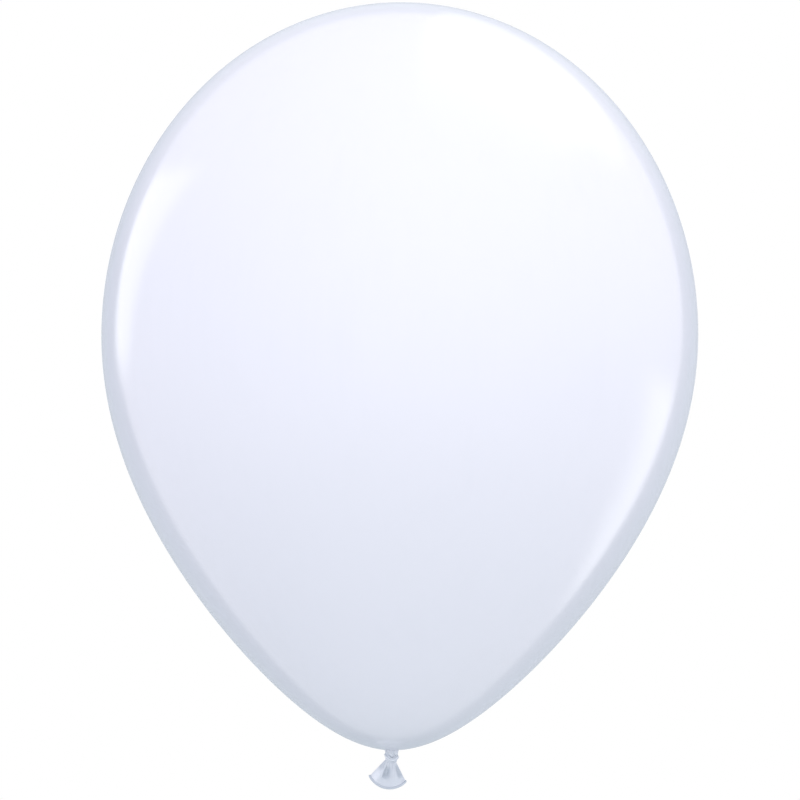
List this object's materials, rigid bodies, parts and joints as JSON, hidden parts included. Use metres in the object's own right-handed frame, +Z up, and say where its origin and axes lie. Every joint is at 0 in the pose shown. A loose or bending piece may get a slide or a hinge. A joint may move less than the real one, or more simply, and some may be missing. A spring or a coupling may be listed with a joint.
{
  "type": "latex balloon",
  "caption": "Inflated round latex party balloon, pear-shaped, with a gathered neck, an overhand knot and a short fan-shaped tail that ends in a rolled lip.",
  "frame": {"origin": "on the balloon's axis, at the foot of the inflated envelope, where a ribbon is tied round the neck", "axes": "+Z up the balloon's axis to the crown; X and Y across it, with the flattened tail fanned out along X and leaning towards -X; the front is -Y"},
  "size_m": [0.2799, 0.28, 0.3694],
  "materials": {
    "latex_film": "glossy, slightly see-through white",
    "latex_gathered": "satin, folded and denser",
    "latex_skirt": "satin, pleated, unstretched",
    "latex_lip": "satin, rolled bead"
  },
  "bodies": {
    "balloon": {"envelope": "latex_film"},
    "neck": {"neck": "latex_gathered"},
    "knot": {"knot_core": "latex_gathered", "knot_loop": "latex_gathered"},
    "throat": {"throat": "latex_gathered"},
    "tail": {"mouth_skirt": "latex_skirt", "rolled_lip": "latex_lip"}
  },
  "joints": [
    {"name": "neck_sway", "type": "hinge", "parent": "balloon", "child": "neck", "pos_m": [0, 0, 0.0003], "axis": [0, 1, 0], "range_deg": [-20, 20], "stiffness_Nm_per_rad": 0.000003},
    {"name": "knot_nod", "type": "hinge", "parent": "neck", "child": "knot", "pos_m": [0, 0, -0.0029], "axis": [1, 0, 0], "range_deg": [-20, 20], "stiffness_Nm_per_rad": 0.000003},
    {"name": "tail_sway", "type": "hinge", "parent": "knot", "child": "throat", "pos_m": [0, 0, -0.006], "axis": [0, 1, 0], "range_deg": [-30, 30], "stiffness_Nm_per_rad": 0.0000015},
    {"name": "tail_nod", "type": "hinge", "parent": "throat", "child": "tail", "pos_m": [0, 0, -0.0082], "axis": [1, 0, 0], "range_deg": [-35, 35], "stiffness_Nm_per_rad": 0.000001}
  ]
}
